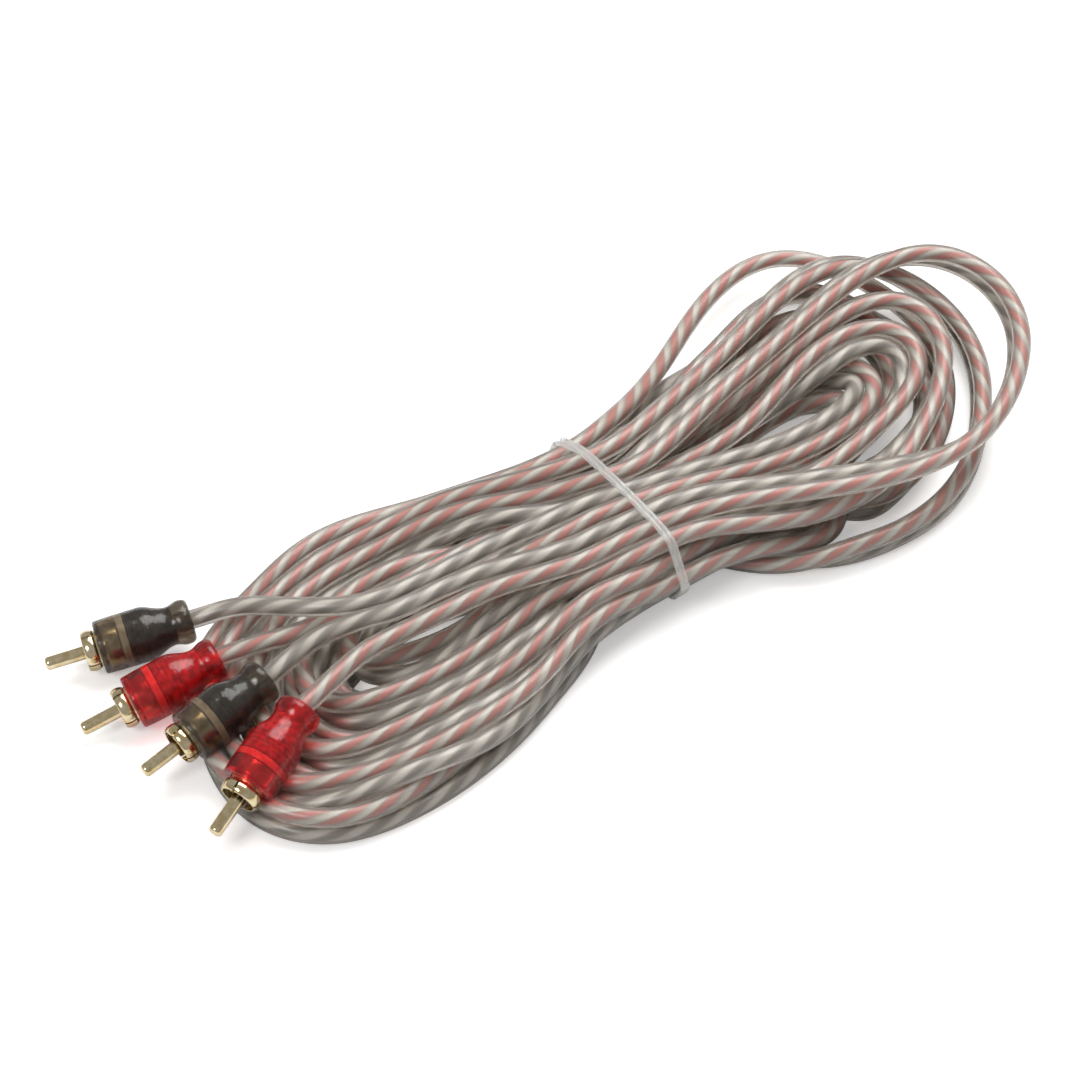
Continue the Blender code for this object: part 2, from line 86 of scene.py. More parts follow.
def new_material(name, colour, roughness, settings):
    """A material of one shader, with its node tree and that shader to build on."""
    made = bpy.data.materials.new(name)
    made.use_nodes = True
    shader = made.node_tree.nodes["Principled BSDF"]
    shader.inputs["Base Color"].default_value = linear(colour)
    shader.inputs["Roughness"].default_value = roughness
    for key, value in settings.items():
        shader.inputs[key].default_value = value
    return made, made.node_tree, shader


def mottle(tree, size, low, high, to):
    """A soft cloudy change of colour, in patches of about that many mm, into a socket."""
    where = add_node(tree, "ShaderNodeTexCoord", {}, {})
    cloud = add_node(tree, "ShaderNodeTexNoise", {"Scale": 1 / (size * mm), "Detail": 3.0},
                     {"Vector": where.outputs["Object"]})
    ramp = add_node(tree, "ShaderNodeValToRGB", {}, {0: cloud.outputs[0]})
    ramp.color_ramp.elements[0].position, ramp.color_ramp.elements[0].color = 0.35, linear(low)
    ramp.color_ramp.elements[1].position, ramp.color_ramp.elements[1].color = 0.65, linear(high)
    tree.links.new(ramp.outputs[0], to)


def unevenness(tree, shader, size, depth):
    """A faint unevenness of the surface, in dents of about that many mm and that depth."""
    where = add_node(tree, "ShaderNodeTexCoord", {}, {})
    cloud = add_node(tree, "ShaderNodeTexNoise", {"Scale": 1 / (size * mm), "Detail": 2.0},
                     {"Vector": where.outputs["Object"]})
    dents = add_node(tree, "ShaderNodeBump", {"Strength": 1.0, "Distance": depth * mm},
                     {"Height": cloud.outputs[0]})
    tree.links.new(dents.outputs[0], shader.inputs["Normal"])


def rounded(*corners):
    """An outline through (radius, height) corners in mm, each rounded by its third value where it has one."""
    outline = []
    for index, corner in enumerate(corners):
        here = Vector(corner[:2])
        if len(corner) == 2:
            outline.append(here)
            continue
        start = here + (Vector(corners[index - 1][:2]) - here).normalized() * corner[2]
        stop = here + (Vector(corners[(index + 1) % len(corners)][:2]) - here).normalized() * corner[2]
        for share in (0.0, 0.2, 0.4, 0.6, 0.8, 1.0):
            outline.append(start.lerp(here, share).lerp(here.lerp(stop, share), share))
    return outline


def turned(outline, closed, steps):
    """The shape that an outline in mm sweeps round the plug's axis."""
    shape = bmesh.new()
    corners = [shape.verts.new((radius * mm, 0.0, height * mm)) for radius, height in outline]
    pairs = list(zip(corners, corners[1:]))
    if closed:
        pairs.append((corners[-1], corners[0]))
    edges = [shape.edges.new(pair) for pair in pairs]
    bmesh.ops.spin(shape, geom=corners + edges, cent=(0, 0, 0), axis=(0, 0, 1), angle=2 * pi, steps=steps,
                   use_merge=True)
    bmesh.ops.remove_doubles(shape, verts=shape.verts, dist=1e-6)
    bmesh.ops.recalc_face_normals(shape, faces=shape.faces)
    return shape


def finished(shape, name, crease):
    """The shape's mesh, smooth but for edges that turn more than the crease, in degrees."""
    mesh = bpy.data.meshes.new(name)
    shape.to_mesh(mesh)
    shape.free()
    mesh.shade_smooth()
    mesh.set_sharp_from_angle(angle=radians(crease))
    return mesh


def put_on_plugs(kind, mesh, finishes):
    """Puts the finished piece on every plug, in place of the plain solid of its kind."""
    for end, (place, heading, drop) in plug_seats.items():
        colour = end.split("_")[1]
        seated = mesh.copy()
        turn = Euler((0.0, pi / 2 + radians(drop), radians(heading))).to_matrix().to_4x4()
        seated.transform(Matrix.Translation(Vector(place) * mm) @ turn)
        seated.materials.append(finishes[colour])
        piece = bpy.data.objects.new("fine_" + kind + "_" + end, seated)
        bpy.context.scene.collection.objects.link(piece)
        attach(piece, "root")
        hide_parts(kind + "_" + end)
        pieces_on[end].append(piece)


# Gold flash gives a pale warm mirror, slightly softened by handling
gold, tree, shader = new_material("gold flash over nickel on brass", "dccba4", 0.15, {"Metallic": 1.0})
mottle(tree, 1.6, "d2bc8c", "e6d8b6", shader.inputs["Base Color"])
unevenness(tree, shader, 0.9, 0.004)
pin_outline = rounded(
    (0.0, pin_tip), (pin_radius, pin_tip, pin_nose), (pin_radius, shoulder_front),
    (shoulder_radius, shoulder_front, 0.12), (shoulder_radius, shoulder_rear, 0.12), (cup_radius, shoulder_rear),
    (cup_radius, cup_rear, 0.1), (cup_bore, cup_rear), (cup_bore, cup_floor), (0.0, cup_floor))
pin_mesh = finished(turned(pin_outline, False, 48), "pin", 40)
put_on_plugs("pin", pin_mesh, {"red": gold, "black": gold})

# The insulators
# A turned piece of natural nylon: a boss that fills the shell's front, a flange behind it that the shell
# bears on, a bore that grips the pin, and a notch that lets the shell's tab through.
flange_front = -5.3
flange_rear = -7.0
boss_front = -3.5
boss_radius = 3.63
flange_radius = 5.0
tab_inside = 4.08
tab_width = 2.4
tab_thickness = 0.5


def box_between(low, high):
    """A box between two corners in mm."""
    shape = bmesh.new()
    middle = (Vector(low) + Vector(high)) / 2 * mm
    size = Matrix.Diagonal((*((Vector(high) - Vector(low)) * mm), 1.0))
    bmesh.ops.create_cube(shape, size=1.0, matrix=Matrix.Translation(middle) @ size)
    return shape


def worked(shape, tools, operation, name, crease):
    """The shape cut by, or joined with, each of the tool shapes in turn."""
    body = bpy.data.objects.new(name, finished(shape, name, crease))
    helpers = [body]
    bpy.context.scene.collection.objects.link(body)
    for tool in tools:
        helper = bpy.data.objects.new(name + " tool", finished(tool, name + " tool", crease))
        bpy.context.scene.collection.objects.link(helper)
        step = body.modifiers.new("work", "BOOLEAN")
        step.operation, step.solver, step.object = operation, "EXACT", helper
        helpers.append(helper)
    bpy.context.view_layer.update()
    made = bpy.data.meshes.new_from_object(body.evaluated_get(bpy.context.evaluated_depsgraph_get()))
    for helper in helpers:
        bpy.data.objects.remove(helper)
    made.set_sharp_from_angle(angle=radians(crease))
    return made


# Natural nylon is a creamy, waxy plastic that lets a little light in
nylon, tree, shader = new_material(
    "natural nylon, turned", "cfc4b0", 0.42, {"Subsurface Weight": 0.25, "Subsurface Scale": 0.002})
mottle(tree, 2.5, "c6b9a2", "d8cfbd", shader.inputs["Base Color"])
insulator_outline = rounded(
    (pin_radius + 0.02, boss_front), (boss_radius, boss_front, 0.2), (boss_radius, flange_front),
    (flange_radius, flange_front, 0.15), (flange_radius, flange_rear, 0.15), (pin_radius + 0.02, flange_rear))
notch = box_between((tab_inside - 0.3, -tab_width / 2 - 0.3, -13), (8, tab_width / 2 + 0.3, flange_front + 0.15))
insulator_mesh = worked(turned(insulator_outline, True, 64), [notch], "DIFFERENCE", "insulator", 40)
put_on_plugs("insulator", insulator_mesh, {"red": nylon, "black": nylon})

# The ground shells
# Drawn from thin brass tube and gold flashed like the pin: a wider body in the boot, a narrower neck, and in
# front a rolled ring, sawn by four slots so that it springs over the jack. A tab is left at the rear.
ring_front = 3.4
ring_length = 3.1
neck_radius = 4.35
ring_bulge = 0.62
body_radius = 4.75
shell_wall = 0.42
neck_rear = -1.1
shell_rear = -5.0
slot_width = 0.5
slot_floor = 0.4
tab_rear = -12.0

ring = [(neck_radius - 0.1 + ring_bulge * sin(pi * share) ** 0.55, ring_front - ring_length * share)
        for share in (0.0, 0.015, 0.05, 0.1, 0.17, 0.26, 0.37, 0.5, 0.63, 0.74, 0.83, 0.9, 0.95, 0.985, 1.0)]
shell_outline = rounded(
    *ring, (neck_radius - 0.1, neck_rear), (body_radius, neck_rear - 0.42, 0.2),
    (body_radius, shell_rear, 0.1), (neck_radius - shell_wall, shell_rear), (neck_radius - shell_wall, 0.6, 0.1),
    *[(radius - shell_wall, height) for radius, height in ring[-4:2:-1]], (neck_radius - 0.35, ring_front - 0.04))
sawn = [box_between((-9, -slot_width / 2, slot_floor), (9, slot_width / 2, 9)),
        box_between((-slot_width / 2, -9, slot_floor), (slot_width / 2, 9, 9))]
sleeve = worked(turned(shell_outline, True, 64), sawn, "DIFFERENCE", "sleeve", 40)
shape = bmesh.new()
shape.from_mesh(sleeve)
tab = box_between((tab_inside, -tab_width / 2, tab_rear),
                  (tab_inside + tab_thickness, tab_width / 2, shell_rear + 0.4))
bmesh.ops.bevel(tab, geom=tab.edges, offset=0.1 * mm, segments=2, affect="EDGES", profile=0.5, material=-1)
shell_mesh = worked(shape, [tab], "UNION", "shell", 40)
put_on_plugs("shell", shell_mesh, {"red": gold, "black": gold})

# The wires in the plugs
# The lead's inner conductor runs straight into the pin's cup. The strands of its shield are twisted into one
# and laid under the shell's tab. Both are bare tinned copper, soldered.
wire_radius = 0.65
lead_end = -18.7
strand_radius = 0.2


def laid_up(way, radius, count, pitch):
    """Round strands laid up in a spiral about a way, both in mm."""
    rope = bmesh.new()
    for strand in range(count):
        rings = []
        for index, (x, z) in enumerate(way):
            turn = 2 * pi * (strand / count + z / pitch)
            middle = Vector((x + (radius - strand_radius) * cos(turn), (radius - strand_radius) * sin(turn), z))
            made = bmesh.ops.create_circle(rope, segments=8, radius=strand_radius * mm,
                                           matrix=Matrix.Translation(middle * mm))
            rings.append(made["verts"])
        for here, there in zip(rings, rings[1:]):
            for side in range(8):
                rope.faces.new((here[side], here[side - 1], there[side - 1], there[side]))
        for cap in (rings[0], rings[-1]):
            rope.faces.new(cap)
    bmesh.ops.recalc_face_normals(rope, faces=rope.faces)
    return rope


# Tinned copper is a soft grey-brown metal, brighter on the crown of each strand
tinned, tree, shader = new_material("tinned copper strands, soldered", "b08a70", 0.38, {"Metallic": 1.0})
mottle(tree, 0.8, "a5765a", "c4b2a0", shader.inputs["Base Color"])
straight = [(0.0, z) for z in np.linspace(lead_end + 0.3, cup_floor - 0.3, 26)]
signal_mesh = finished(laid_up(straight, wire_radius, 6, 6.0), "signal_wire", 60)
put_on_plugs("signal_wire", signal_mesh, {"red": tinned, "black": tinned})
under_tab = tab_inside - wire_radius - 0.15
bent = [(1.9 + (under_tab - 1.9) * min(1.0, max(0.0, (z + 18.1) / 6.1)), z) for z in np.linspace(-18.4, -9.7, 26)]
shield_mesh = finished(laid_up(bent, wire_radius, 6, 5.0), "shield_wire", 60)
put_on_plugs("shield_wire", shield_mesh, {"red": tinned, "black": tinned})

# The inner moulds
# A block of hard PVC shot over the soldered joints, red or black as the channel: a cylinder that tapers to
# the lead. It holds the joints, and its surface is left coarse so that the boot grips it.
mould_radius = 4.8
mould_waist_radius = 3.4
mould_front = -7.3
mould_taper = -12.0
mould_waist = -16.3
mould_rear = -18.4
grip_depth = 0.22
grip_step = 1.15

grips = []
for index in range(4):
    top = mould_front - 0.75 - index * grip_step
    grips += [(mould_radius, top, 0.1), (mould_radius - grip_depth, top - 0.2),
              (mould_radius - grip_depth, top - 0.45), (mould_radius, top - 0.65, 0.1)]
mould_outline = rounded(
    (wire_radius + 0.1, mould_front), (mould_radius, mould_front, 0.3), *grips, (mould_radius, mould_taper, 0.6),
    (mould_waist_radius, mould_waist, 0.6), (mould_waist_radius, mould_rear, 0.3), (wire_radius + 0.1, mould_rear))
channels = [box_between((tab_inside - 1.75, -tab_width / 2 - 0.3, tab_rear - 0.3), (9, tab_width / 2 + 0.3, -5)),
            box_between((1.15, -0.95, mould_rear - 1), (9, 0.95, tab_rear))]
mould_mesh = worked(turned(mould_outline, True, 64), channels, "DIFFERENCE", "inner_mould", 40)
# Hard PVC left as it comes from a sparked mould: dull, grainy, and a little chalky on its high spots
red_pvc, tree, shader = new_material("hard red PVC, spark textured", "9c0f1c", 0.5, {})
mottle(tree, 1.3, "7e0814", "b71a28", shader.inputs["Base Color"])
unevenness(tree, shader, 0.5, 0.06)
black_pvc, tree, shader = new_material("hard black PVC, spark textured", "241e1b", 0.5, {})
mottle(tree, 1.3, "15110f", "3a322d", shader.inputs["Base Color"])
unevenness(tree, shader, 0.5, 0.06)
put_on_plugs("inner_mould", mould_mesh, {"red": red_pvc, "black": black_pvc})

# The boots
# The outer moulding of soft clear-dyed PVC, shot last over shell, mould and lead: a barrel that swells a
# little, a pinched waist for the fingers, and a rounded flare behind. The gold shows through its wall.
boot_length = 22.3
boot_front_radius = 6.3
boot_swell = 8.0
barrel_radius = 6.45
barrel_rear = 10.7
waist_radius = 4.6
waist_at = 17.2
flare_radius = 5.3
flare_at = 20.1
lead_radius = 2.3
skin = 0.03  # how far the boot's soft inside closes into what it is shot over


def swept(start, stop, steps):
    """Outline points between two (radius, height) places along half a cosine wave, level at both ends."""
    return [(start[0] + (stop[0] - start[0]) * (1 - cos(pi * n / steps)) / 2,
             start[1] + (stop[1] - start[1]) * n / steps) for n in range(1, steps + 1)]


boot_outline = rounded(
    (neck_radius - skin, 0.0, 0.12), (boot_front_radius, 0.0, 0.75), (barrel_radius - 0.02, -4.0),
    (barrel_radius, -boot_swell), (barrel_radius, -barrel_rear),
    *swept((barrel_radius, -barrel_rear), (waist_radius, -waist_at), 14),
    *swept((waist_radius, -waist_at), (flare_radius, -flare_at), 8),
    (flare_radius, -boot_length, 1.7), (lead_radius - skin, -boot_length, 0.15), (lead_radius - skin, mould_rear),
    (mould_waist_radius - skin, mould_rear), (mould_waist_radius - skin, mould_waist),
    (mould_radius - grip_depth - skin, mould_taper), (mould_radius - grip_depth - skin, flange_rear - 0.25),
    (flange_radius - skin, flange_rear), (flange_radius - skin, flange_front), (body_radius - skin, flange_front),
    (body_radius - skin, neck_rear - 0.42), (neck_radius - skin, neck_rear))
boot_mesh = finished(turned(boot_outline, True, 72), "boot", 50)


def tinted_shadow(tree, shader, colour):
    """Lets light through a clear plastic, so that its shadow is only tinted."""
    ray = add_node(tree, "ShaderNodeLightPath", {}, {})
    tint = add_node(tree, "ShaderNodeBsdfTransparent", {0: linear(colour)}, {})
    mixed = add_node(tree, "ShaderNodeMixShader", {},
                     {0: ray.outputs["Is Shadow Ray"], 1: shader.outputs[0], 2: tint.outputs[0]})
    tree.links.new(mixed.outputs[0], tree.nodes["Material Output"].inputs["Surface"])


def dyed_clear(name, dark, light, clearness, dye, strength):
    """Soft plastic with dye all through it: the deeper the wall the darker, over a faint cloudiness."""
    made, tree, shader = new_material(name, light, 0.17, {"Transmission Weight": clearness, "IOR": 1.45})
    mottle(tree, 1.8, dark, light, shader.inputs["Base Color"])
    unevenness(tree, shader, 1.1, 0.12)
    depth = add_node(tree, "ShaderNodeVolumeAbsorption", {0: linear(dye), 1: strength}, {})
    tree.links.new(depth.outputs[0], tree.nodes["Material Output"].inputs["Volume"])
    tinted_shadow(tree, shader, light)
    return made


# Red dyed PVC glows where light comes through the thin flare; the smoke one shows the gold as through dark
# glass
red_boot = dyed_clear("soft red clear PVC, gloss moulded", "cc3a44", "fa6066", 0.94, "ff6450", 330.0)
smoke_boot = dyed_clear("soft smoke clear PVC, gloss moulded", "9a9084", "c0b6a8", 0.96, "ab9f8a", 260.0)
put_on_plugs("boot", boot_mesh, {"red": red_boot, "black": smoke_boot})

# The twin lead
# Two round leads run side by side for the whole length of the cable, one with pink marked bundles and one
# with grey. Each is stranded bundles laid up in a spiral under a clear soft PVC jacket. They are folded into a
# hank, loop on loop, as they fall from the hand, and part only near the plugs.
lead_diameter = 2 * lead_radius
bundle_radius = 1.12
bundle_pitch = 9.75  # of lead in which a marked bundle goes half round
strands_seen = 11.0  # in a marked bundle and the white one beside it, drawn coarser than the real hair-fine ones
twin_spacing = 4.65
way_step = 4.0  # between the places that are moved as the hank settles
drawn_step = 1.4
tie_x = 3.0
tie_room = 1.6  # left under the leads for the tie

# The squarish oval inside the tie that the leads' middles keep to: its middle, its half width and half height
tie_middle = np.array([-10.5, 12.8])
tie_half = (23.7, 8.9)
tie_squareness = 2.7

# The way of each tail over the hank, from its boot to the tie, in mm
tail_ways = {
    "a_black": [(-84.6, 17.5, 12.8), (-76.2, 4.8, 18.4), (-69.0, -1.9, 20.1), (-61.6, -4.9, 20.4),
                (-49.5, -6.3, 20.5), (-39.0, -6.5, 20.5), (-27.0, -6.9, 20.6), (-17.0, -7.9, 20.8),
                (-7.3, -8.5, 20.9)],
    "a_red": [(-88.0, 5.2, 13.0), (-80.7, 2.6, 13.7), (-72.5, 0.9, 14.3), (-66.0, -1.2, 14.4), (-60.0, -3.6, 14.4),
              (-52.5, -6.9, 14.5), (-45.0, -9.4, 15.0), (-37.0, -10.9, 16.0), (-27.0, -11.3, 17.9),
              (-17.0, -13.0, 20.0), (-7.3, -13.5, 20.9)],
    "b_black": [(-79.0, -5.1, 17.6), (-68.0, -7.5, 19.4), (-60.0, -10.9, 20.9), (-49.5, -11.3, 20.9),
                (-39.0, -12.3, 20.8), (-27.0, -15.4, 20.7), (-17.0, -17.9, 20.9), (-7.3, -18.5, 20.9)],
    "b_red": [(-73.0, -15.4, 18.2), (-61.0, -15.5, 18.6), (-47.0, -16.6, 19.3), (-37.0, -17.6, 19.8),
              (-27.0, -20.5, 20.4), (-17.0, -23.0, 20.8), (-7.3, -23.5, 20.9)],
}

# Where each loop's pair passes through the tie, on the hank's near side and on its far side: (y, z) of the
# pink lead and of the grey one, in mm
near_places = {
    "first": ((-13.5, 20.9), (-8.5, 20.9)),
    "last": ((-23.4, 20.9), (-18.4, 20.9)),
    "tall": ((-28.3, 18.5), (-26.3, 14.3)),
    "wide": ((-31.8, 14.2), (-28.2, 11.0)),
    "low": ((-33.9, 9.9), (-29.6, 8.3)),
    "rim": ((-31.6, 5.6), (-26.9, 4.8)),
    "middle": ((-21.6, 16.4), (-17.0, 16.6)),
    "inner": ((-23.8, 10.0), (-22.4, 6.0)),
    "fold in": ((-19.2, 11.6), (-17.6, 7.3)),
    "fold out": ((-14.6, 12.0), (-13.0, 7.8)),
}
far_places = {
    "wide": ((9.2, 15.6), (10.8, 11.2)),
    "rim": ((5.3, 19.8), (0.9, 20.4)),
    "last": ((-2.8, 21.0), (-2.9, 16.4)),
    "tall": ((1.6, 15.6), (2.2, 11.0)),
    "low": ((9.9, 6.7), (5.4, 5.2)),
    "inner": ((6.4, 9.6), (6.4, 14.0)),
    "middle": ((-3.6, 11.8), (-8.2, 12.2)),
    "first": ((-1.2, 7.4), (-5.8, 6.6)),
}

# The loops at the far end of the hank, from the tie's near side round to its far side, in mm
right_loops = {
    "first": [(17, -18, 19.5), (35, -20, 17.5), (48, -21, 16), (62, -21, 15), (73, -19, 14.5), (81, -15.5, 14),
              (85.5, -9, 13.5), (85, -2, 13), (79, 2.5, 12), (66, 4, 11), (45, 2.5, 10), (25, 0.5, 9)],
    "last": [(14, -26, 20.9), (24, -30, 20.6), (46, -38, 20.5), (60, -42, 20.3), (72, -45, 20), (83, -45, 19.5),
             (94, -42, 19), (105, -37.5, 19), (115, -30, 19), (123, -19, 19.5), (127.5, -8, 19.5), (128, 3, 19.5),
             (125, 12, 19.5), (119, 17.5, 19.7), (111, 18.5, 20), (100, 16.5, 20), (88, 14, 20), (66, 8, 20),
             (43, 3, 21), (16, -2.6, 21.4)],
    "tall": [(16, -31, 17), (33, -37, 15.5), (48, -39.5, 15.3), (60, -39, 15.5), (69, -36, 16.5), (78, -32.2, 17),
             (88, -26.3, 17), (97, -20, 17), (104.5, -14, 17), (108.5, -5, 17), (108, 1.5, 17), (103.5, 7.5, 17),
             (96.5, 10.3, 17), (88, 11, 17), (77, 9, 17), (65, 7, 17), (54, 4, 17), (43, 2, 17), (22, 1.5, 16.2)],
    "middle": [(20, -24, 15.5), (40, -28, 15.5), (60, -28.7, 15.7), (70.8, -26.7, 16), (80.8, -23.7, 16.2),
               (88.8, -19.7, 16.2), (95.8, -14.2, 16.2), (99.3, -7.5, 16.2), (98, -0.7, 16.2), (91.5, 3.2, 16.2),
               (80, 2.3, 16.2), (70, 0, 16), (58, -3, 15.5), (47, -5.5, 15), (30, -7.5, 14)],
    "wide": [(20, -30, 10.5), (37, -34.3, 9), (52, -37, 8), (65, -38.4, 8), (76, -37.5, 7.6), (86, -33, 7.2),
             (94.5, -27.5, 7), (102, -19.5, 7), (107, -11.5, 7), (109.8, -3, 7), (111, 6, 7), (112, 16, 7),
             (111.3, 26, 7), (108.5, 34, 7), (104.5, 41, 7), (99.5, 45.7, 7), (93, 47.3, 7), (86, 46.3, 7),
             (77, 44, 7), (66, 38.5, 7), (54, 31.5, 8), (42, 24, 10), (28, 18, 12), (16, 13, 14)],
    "rim": [(15, -32.5, 5.5), (33, -36, 5.5), (49, -42.5, 5.5), (60, -45.5, 5.5), (68, -47, 6), (79, -46.3, 6.5),
            (89, -39.7, 7), (98, -33, 7), (107, -24.5, 7), (114, -14.5, 7), (118.5, -5, 7.3), (119.8, 4, 8.5),
            (118.5, 13, 11.5), (114.5, 20.5, 15), (109, 25, 16.5), (101, 27, 17), (90, 26, 17), (78, 23, 17.3),
            (65, 19, 18), (46, 12, 18.3), (24, 8, 19)],
    "inner": [(20, -27, 8.5), (40, -27, 7), (62, -25.5, 7), (74, -22, 7), (84, -16.5, 7), (91, -10.5, 7),
              (95.5, -3, 7), (97.5, 5, 7), (97, 12, 7.5), (93.5, 19.5, 8.5), (86, 24.5, 9.5), (72, 23.5, 10),
              (52, 17, 9.5), (30, 12.5, 8.5)],
    "low": [(20, -34.5, 8.5), (33, -36.5, 6), (43, -37.5, 5), (52, -36.8, 4.8), (61, -34.8, 5), (70, -31.8, 5.7),
            (80, -28, 6.5), (90, -22.8, 7), (97, -15.5, 7), (101.8, -8, 7), (104, 0, 7), (104, 10, 7.2),
            (103, 20, 8), (100, 29, 9), (93, 33, 10), (83, 32.5, 10), (72, 30, 10), (60, 26, 10.5),
            (48, 21.5, 10.5), (30, 14, 10)],
    "fold": [(25, -19, 9), (48, -18.5, 7.5), (64, -18.5, 7), (74, -16, 7), (80.5, -11.5, 7), (82.5, -5, 7),
             (79, 0.5, 7), (71, 2.5, 7), (61, 0.7, 7), (49, -2.3, 7.5), (37, -4.8, 8), (25, -7, 9)],
}
# The loops at the plugs' end: x and y of the turn, y where the loop is widest on its far and its near side,
# and its height on the far side, at the turn and on the near side, in mm
left_loops = {
    "outer": (-110.4, -27.0, 25.6, -45.2, 9.3, 7.0, 4.6),
    "second": (-104.6, -25.5, 21.5, -38.9, 9.0, 7.0, 7.4),
    "third": (-97.5, -24.0, 15.5, -31.5, 9.6, 7.0, 8.9),
    "fourth": (-89.5, -15.0, 9.5, -24.2, 8.6, 7.0, 9.2),
    "eye": (-76.0, -7.0, 4.5, -17.5, 8.8, 8.0, 9.4),
    "under outer": (-101.0, -25.0, 20.5, -40.5, 4.4, 3.5, 3.0),
    "under second": (-92.5, -18.0, 13.0, -31.0, 4.4, 3.5, 3.0),
    "under eye": (-84.0, -12.0, -1.0, -23.0, 4.4, 3.5, 3.0),
}
loop_order = ["first", "fourth", "tall", "eye", "middle", "under eye", "inner", "under second", "fold",
              "under outer", "low", "second", "rim", "outer", "wide", "third", "last"]

# How far out the gathered hank reaches: x, its near and far edge, and its top, in mm
hank_reach = np.array([
    (-113, -60, 40, 9), (-109, -60, 40, 9.5), (-103, -60, 40, 10.2), (-97, -55, 40, 11), (-90, -50, 40, 12),
    (-82, -50.5, 23, 13.5), (-72, -51, 28, 14), (-61, -50, 30, 14), (-45, -44.5, 28, 14), (-29, -38, 23, 17),
    (-15, -35.5, 18, 20), (3, -36.5, 15.5, 24), (15, -39.5, 19, 23.5), (28, -43.5, 23.5, 23.5),
    (45, -48.5, 30.5, 23), (63, -51.5, 42.5, 22.5), (81, -50.5, 50, 22.5), (91, -47.5, 51.5, 22.5),
    (101, -41.5, 48, 22.5), (111, -34.5, 39.5, 22.5), (121, -24.5, 32.5, 22.5), (127, -14.5, 26.5, 22.5),
    (130.3, -4.5, 17.5, 22.5)])

# Where the hank lies open to a viewer above the plugs' near side: x and y of the place seen on the surface
# under it, and half the opening's width, in mm
viewer = np.array([-304.5, -404.1, 522.0])
openings = np.array([
    (86.2, 45.3, 2.7), (79.9, 43.6, 2.5), (92.6, 46.5, 2.5), (73.9, 41.1, 2.3), (68.1, 38.7, 2.1), (63.4, 36.9, 1.7),
    (97.9, 46.7, 1.7), (59.4, 35.1, 1.4), (56.1, 33.7, 1.1), (111.9, 18.5, 0.8), (99.9, -24.5, 1.2),
    (96.9, -26.8, 1.1), (111.3, -13.2, 1.1), (108.8, -16.0, 1.1), (106.1, -18.6, 1.1), (103.7, -21.4, 1.1),
    (115.4, -7.8, 0.8), (75.7, -19.4, 1.0), (87.7, -15.7, 0.8), (84.8, -16.7, 0.8), (82.0, -17.8, 0.8),
    (79.1, -18.4, 0.8), (78.9, -36.5, 1.8), (74.4, -38.0, 1.8), (70.6, -38.6, 1.8), (66.8, -39.3, 1.7),
    (62.7, -39.6, 1.3), (59.6, -39.5, 0.8), (83.0, -35.6, 1.2), (56.9, -39.3, 0.4), (-39.6, -5.9, 0.5),
    (-42.1, -4.9, 0.5)])


def out_of_tie(across, height):
    """How far out a place in the tie is: 1 where a lead's middle is on the oval."""
    sideways = abs(across - tie_middle[0]) / tie_half[0]
    upward = abs(height - tie_middle[1]) / tie_half[1]
    return (sideways ** tie_squareness + upward ** tie_squareness) ** (1 / tie_squareness)


def tie_places():
    """Moves the leads' places in the tie apart until they lie side by side inside it."""
    keys = [("near", loop) for loop in near_places] + [("far", loop) for loop in far_places]
    middles = np.array([place for table in (near_places, far_places) for pair in table.values() for place in pair])
    wanted = middles.copy()
    on_top = np.repeat([key in (("near", "first"), ("near", "last")) for key in keys], 2)
    # Each turn mends only a part of what is wrong, so that the places settle instead of jumping
    for turn in range(1500):
        apart = middles[:, None] - middles[None]
        gaps = np.linalg.norm(apart, axis=2) + 99 * np.eye(len(middles))
        lack = np.clip(lead_diameter + 0.08 - gaps, 0, None)
        move = 0.35 * (apart / gaps[..., None] * lack[..., None]).sum(1)
        pair = middles[0::2] - middles[1::2]
        spacing = np.linalg.norm(pair, axis=1)[:, None]
        move[0::2] += 0.4 * pair / spacing * (twin_spacing - spacing)
        move[1::2] -= 0.4 * pair / spacing * (twin_spacing - spacing)
        out = out_of_tie(middles[:, 0], middles[:, 1])
        over = 0.8 * np.clip(out - 1, 0, None) / np.maximum(out, 1e-6)
        move -= over[:, None] * (middles - tie_middle)
        if turn < 600:
            move += 0.01 * (wanted - middles)
        move[on_top] = 0
        middles = middles + move
    return {key: (middles[2 * at], middles[2 * at + 1]) for at, key in enumerate(keys)}


def left_loop(loop, far, near):
    """A drop-shaped loop from the tie's far side round the turn to its near side."""
    turn_x, turn_y, far_y, near_y, far_z, turn_z, near_z = left_loops[loop]
    angles = np.linspace(0, pi, 400)
    points = []
    for (start_y, start_z), edge, height, fullness, turns in (
            (far, far_y, far_z, 1.3, np.linspace(0, pi, 10)[1:]),
            (near, near_y, near_z, 2.6, np.linspace(pi, 0, 10)[1:-1])):
        shape = np.sin(angles) * np.sin(angles / 2) ** fullness
        widest = angles[shape.argmax()]
        bulge = edge - start_y - (turn_y - start_y) * (1 - cos(widest)) / 2
        # The loop comes down from the tie in its first third, and takes the turn's height in its last
        for turn in turns:
            share = (1 - cos(turn)) / 2
            down = min(1.0, share / 0.35)
            down = down * down * (3 - 2 * down)
            round_turn = max(0.0, (share - 0.7) / 0.3)
            round_turn = round_turn * round_turn * (3 - 2 * round_turn)
            level = height * (1 - round_turn) + turn_z * round_turn
            y = start_y + (turn_y - start_y) * share + bulge * sin(turn) * sin(turn / 2) ** fullness / shape.max()
            points.append((tie_x + (turn_x - tie_x) * share, y, start_z * (1 - down) + level * down))
    return points


